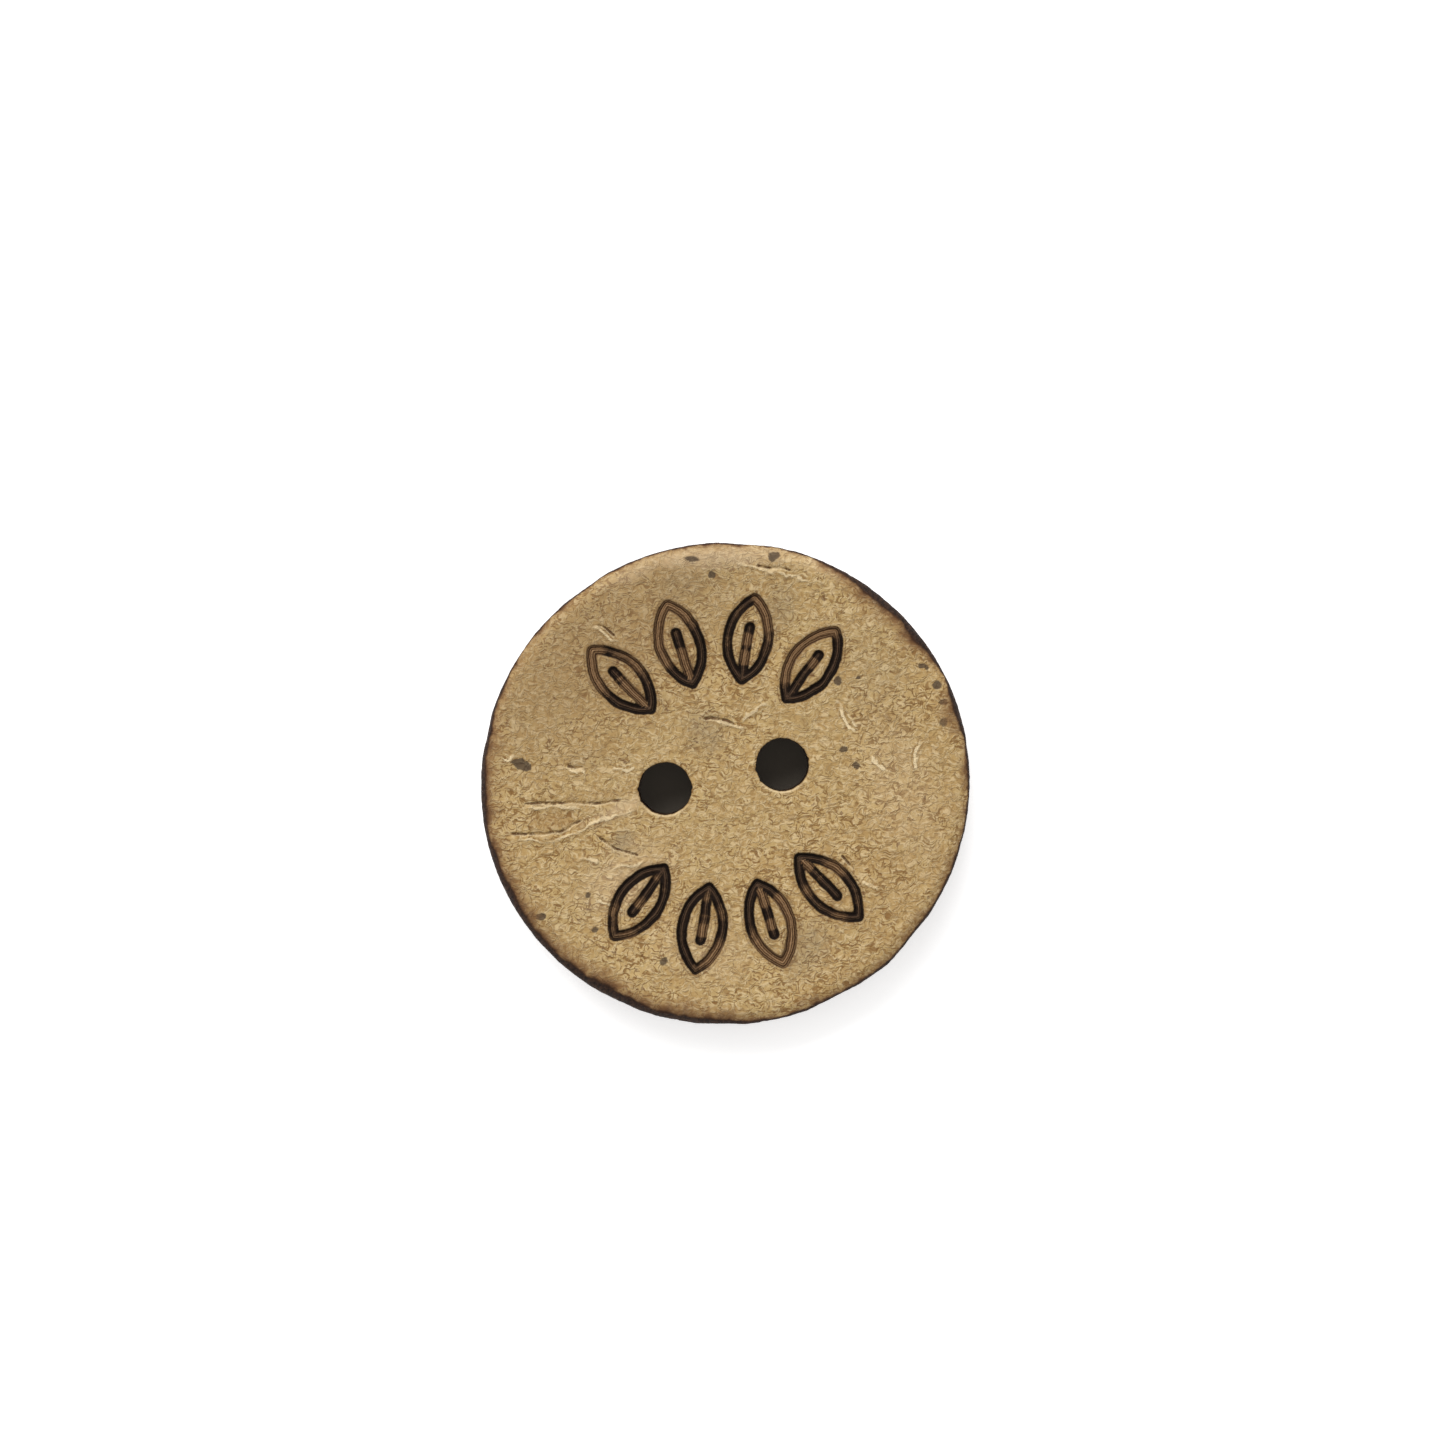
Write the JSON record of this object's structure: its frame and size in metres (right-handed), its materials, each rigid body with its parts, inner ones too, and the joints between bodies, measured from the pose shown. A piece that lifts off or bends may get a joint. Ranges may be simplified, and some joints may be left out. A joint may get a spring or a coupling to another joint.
{
  "type": "sew on button",
  "caption": "Round two-hole sew-on button of coconut shell with a dished pale face, a dark ground rim and burned leaf marks.",
  "frame": {"origin": "middle of the flat ground back face", "axes": "+Z out of the face, through the thickness; +X along the line of the two sewing holes; +Y across that line"},
  "size_m": [0.0202, 0.0198, 0.003],
  "materials": {
    "dark_shell": "hard coconut shell, ground and lightly oiled, satin, with pale fibre specks",
    "pale_skin": "dry matt fibrous inner skin of coconut shell with brown flecks, burned marks and worn edges"
  },
  "bodies": {
    "root": {"shell_disc": "dark_shell", "pale_inner_skin": "pale_skin"}
  },
  "joints": []
}
